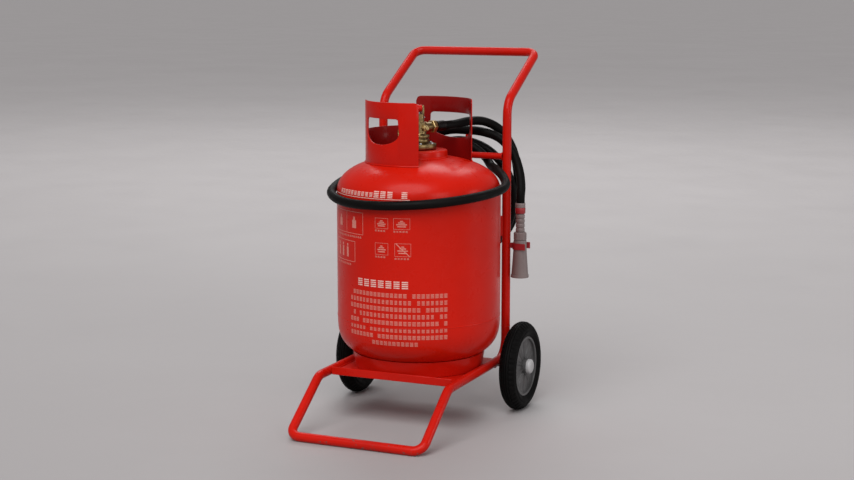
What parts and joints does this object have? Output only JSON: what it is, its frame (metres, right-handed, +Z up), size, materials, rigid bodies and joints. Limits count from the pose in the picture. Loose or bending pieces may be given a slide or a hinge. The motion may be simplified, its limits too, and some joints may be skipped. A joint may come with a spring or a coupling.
{
  "type": "wheeled fire extinguisher",
  "caption": "Upright red pressure vessel with guard collar and brass valve on a two-wheel tube trolley, hose wrapped round it and a discharge nozzle held in a side clip.",
  "frame": {"origin": "on the vessel's axis, on the floor the wheels and front bar stand on", "axes": "+Z up, -Y toward the foot loop at the front, +Y toward the push handle, +X toward the side the nozzle hangs on"},
  "size_m": [0.51, 0.7477, 0.8878],
  "materials": {
    "handle_bow": "gloss red paint over steel",
    "foot_loop": "gloss red paint over steel",
    "crossbar": "gloss red paint over steel",
    "base_plate": "gloss red paint over steel",
    "axle_tube": "gloss red paint over steel",
    "axle_rod": "zinc-plated steel",
    "hose_hook": "gloss red paint over steel",
    "nozzle_clip": "gloss red paint over steel",
    "vessel_bracket_left": "gloss red paint over steel",
    "vessel_bracket_right": "gloss red paint over steel",
    "inner_washer_left": "zinc-plated steel",
    "inner_washer_right": "zinc-plated steel",
    "axle_nut_left": "zinc-plated steel",
    "axle_nut_right": "zinc-plated steel",
    "vessel_shell": "gloss red paint over steel",
    "foot_ring": "gloss red paint over steel",
    "neck_boss": "gloss red paint over steel",
    "guard_collar": "gloss red paint over steel",
    "dip_tube": "zinc-plated steel",
    "valve_body": "machined brass",
    "valve_gasket": "matt black rubber",
    "valve_bonnet": "machined brass",
    "lever_pivot_pin": "zinc-plated steel",
    "outlet_union_nut": "machined brass",
    "hose_ferrule": "zinc-plated steel",
    "relief_plug": "machined brass",
    "gauge_case": "machined brass",
    "gauge_dial": "white printed dial",
    "gauge_lens": "clear gauge window",
    "hose": "matt black rubber",
    "tyre_left": "matt black solid rubber tyre",
    "rim_left": "dark grey moulded plastic",
    "wheel_bush_left": "sintered bronze",
    "hub_cap_left": "light grey moulded plastic",
    "tyre_right": "matt black solid rubber tyre",
    "rim_right": "dark grey moulded plastic",
    "wheel_bush_right": "sintered bronze",
    "hub_cap_right": "light grey moulded plastic",
    "valve_lever": "gloss red paint over steel",
    "valve_stem": "zinc-plated steel",
    "safety_pin": "zinc-plated steel",
    "pull_ring": "zinc-plated steel",
    "gauge_needle": "matt black rubber",
    "nozzle_ferrule": "zinc-plated steel",
    "nozzle_band": "gloss red paint over steel",
    "nozzle_grip": "light grey moulded plastic",
    "nozzle_horn": "light grey moulded plastic",
    "shutoff_sleeve": "light grey moulded plastic"
  },
  "bodies": {
    "trolley": {"handle_bow": "handle_bow", "foot_loop": "foot_loop", "crossbar": "crossbar", "base_plate": "base_plate", "axle_tube": "axle_tube", "axle_rod": "axle_rod", "hose_hook": "hose_hook", "nozzle_clip": "nozzle_clip", "vessel_bracket_left": "vessel_bracket_left", "vessel_bracket_right": "vessel_bracket_right", "inner_washer_left": "inner_washer_left", "inner_washer_right": "inner_washer_right", "axle_nut_left": "axle_nut_left", "axle_nut_right": "axle_nut_right", "vessel_shell": "vessel_shell", "foot_ring": "foot_ring", "neck_boss": "neck_boss", "guard_collar": "guard_collar", "dip_tube": "dip_tube", "valve_body": "valve_body", "valve_gasket": "valve_gasket", "valve_bonnet": "valve_bonnet", "lever_pivot_pin": "lever_pivot_pin", "outlet_union_nut": "outlet_union_nut", "hose_ferrule": "hose_ferrule", "relief_plug": "relief_plug", "gauge_case": "gauge_case", "gauge_dial": "gauge_dial", "gauge_lens": "gauge_lens", "hose": "hose"},
    "wheel_left": {"tyre_left": "tyre_left", "rim_left": "rim_left", "wheel_bush_left": "wheel_bush_left", "hub_cap_left": "hub_cap_left"},
    "wheel_right": {"tyre_right": "tyre_right", "rim_right": "rim_right", "wheel_bush_right": "wheel_bush_right", "hub_cap_right": "hub_cap_right"},
    "lever": {"valve_lever": "valve_lever"},
    "stem": {"valve_stem": "valve_stem"},
    "locking_pin": {"safety_pin": "safety_pin"},
    "ring": {"pull_ring": "pull_ring"},
    "needle": {"gauge_needle": "gauge_needle"},
    "nozzle": {"nozzle_ferrule": "nozzle_ferrule", "nozzle_band": "nozzle_band", "nozzle_grip": "nozzle_grip", "nozzle_horn": "nozzle_horn"},
    "sleeve": {"shutoff_sleeve": "shutoff_sleeve"}
  },
  "joints": [
    {"name": "wheel_left_spin", "type": "hinge", "parent": "trolley", "child": "wheel_left", "pos_m": [-0.223, 0.121, 0.11], "axis": [1, 0, 0], "continuous": true},
    {"name": "wheel_right_spin", "type": "hinge", "parent": "trolley", "child": "wheel_right", "pos_m": [0.223, 0.121, 0.11], "axis": [1, 0, 0], "continuous": true},
    {"name": "lever_lift", "type": "hinge", "parent": "trolley", "child": "lever", "pos_m": [0, 0, 0.752], "axis": [0.8192, 0.5736, 0], "range_deg": [0, 90]},
    {"name": "stem_press", "type": "slide", "parent": "trolley", "child": "stem", "axis": [0, 0, -1], "range_m": [0, 0.0033]},
    {"name": "pin_pull", "type": "slide", "parent": "trolley", "child": "locking_pin", "axis": [-0.8192, -0.5736, 0], "range_m": [0, 0.032]},
    {"name": "ring_swing", "type": "hinge", "parent": "locking_pin", "child": "ring", "pos_m": [-0.01761, -0.01233, 0.731], "axis": [-0.8192, -0.5736, 0], "range_deg": [-60, 60]},
    {"name": "needle_turn", "type": "hinge", "parent": "trolley", "child": "needle", "pos_m": [0, 0, 0.697], "axis": [-0.3746, -0.9272, 0], "range_deg": [-110, 110], "stiffness_Nm_per_rad": 0.001},
    {"name": "nozzle_unclip", "type": "slide", "parent": "trolley", "child": "nozzle", "axis": [1, 0, 0], "range_m": [0, 0.05]},
    {"name": "sleeve_twist", "type": "hinge", "parent": "nozzle", "child": "sleeve", "pos_m": [0.206, 0.157, 0.4312], "axis": [0, 0, 1], "range_deg": [0, 90]}
  ],
  "couplings": [
    {"joint": "stem_press", "follows": "lever_lift", "m_per_rad": 0.0019735}
  ]
}
